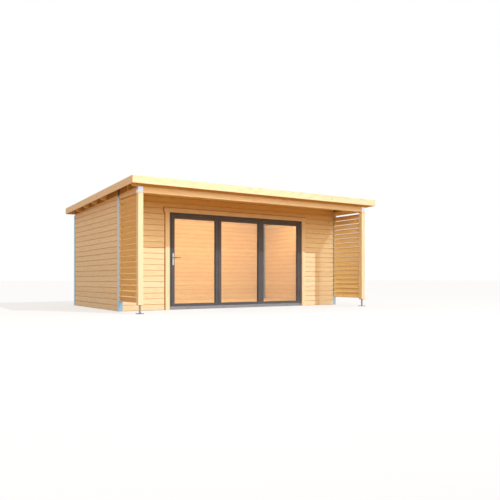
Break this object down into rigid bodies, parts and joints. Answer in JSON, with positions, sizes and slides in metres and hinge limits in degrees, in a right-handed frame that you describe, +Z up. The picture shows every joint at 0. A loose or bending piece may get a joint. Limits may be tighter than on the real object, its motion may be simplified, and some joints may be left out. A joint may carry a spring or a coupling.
{
  "type": "garden office pod",
  "caption": "Timber garden office with a single-pitch roof over a front canopy, louvred side screens and a glazed folding door set whose lead leaf opens as a pass door.",
  "frame": {"origin": "on the ground under the centre of the roof", "axes": "+Z up, -Y to the canopy and doors, +X to the right seen from the front"},
  "size_m": [5.85, 4.33, 2.436],
  "materials": {
    "spruce_boards": "planed, untreated",
    "spruce_planed": "planed, untreated",
    "spruce_deck": "planed, untreated",
    "bare_aluminium": "satin",
    "zinc_steel": "zinc coated",
    "anthracite_aluminium": "fine matt powder coat",
    "clear_glass": "clear",
    "satin_steel": "satin",
    "roof_membrane": "matt"
  },
  "bodies": {
    "pod": {"left_wall": "spruce_boards", "right_wall": "spruce_boards", "back_wall": "spruce_boards", "front_wall_left": "spruce_boards", "front_wall_right": "spruce_boards", "front_wall_over_door": "spruce_boards", "eaves_fillers": "spruce_boards", "front_posts": "spruce_planed", "front_beam": "spruce_planed", "side_beams": "spruce_planed", "screen_stiles": "spruce_planed", "left_screen_slats": "spruce_planed", "right_screen_slats": "spruce_planed", "purlins": "spruce_planed", "front_fascia": "spruce_planed", "back_fascia": "spruce_planed", "left_fascia": "spruce_planed", "right_fascia": "spruce_planed", "door_trim_sides": "spruce_planed", "door_trim_head": "spruce_planed", "floor_joists": "spruce_deck", "floor_boards": "spruce_deck", "roof_boards": "spruce_deck", "front_corner_posts": "bare_aluminium", "back_corner_posts": "bare_aluminium", "post_heads": "bare_aluminium", "door_threshold": "bare_aluminium", "post_feet": "zinc_steel", "door_frame_jambs": "anthracite_aluminium", "door_frame_head": "anthracite_aluminium", "fixed_leaf_stiles": "anthracite_aluminium", "fixed_leaf_rails": "anthracite_aluminium", "middle_leaf_hinges": "anthracite_aluminium", "folding_hinges": "anthracite_aluminium", "fixed_leaf_glass": "clear_glass", "roof_membrane": "roof_membrane"},
    "pass_door": {"pass_leaf_stiles": "anthracite_aluminium", "pass_leaf_rails": "anthracite_aluminium", "pass_leaf_glass": "clear_glass", "pass_leaf_hinges": "anthracite_aluminium", "handle_plates": "satin_steel"},
    "lever": {"lever_handles": "satin_steel", "lever_spindle": "satin_steel"}
  },
  "joints": [
    {"name": "pass_door_swing", "type": "hinge", "parent": "pod", "child": "pass_door", "pos_m": [-0.54717, -1.003, 1], "axis": [0, 0, 1], "range_deg": [0, 170]},
    {"name": "lever_turn", "type": "hinge", "parent": "pass_door", "child": "lever", "pos_m": [-1.607, -0.994, 1.062], "axis": [0, 1, 0], "range_deg": [0, 45], "stiffness_Nm_per_rad": 2, "springref_deg": -34.38}
  ]
}
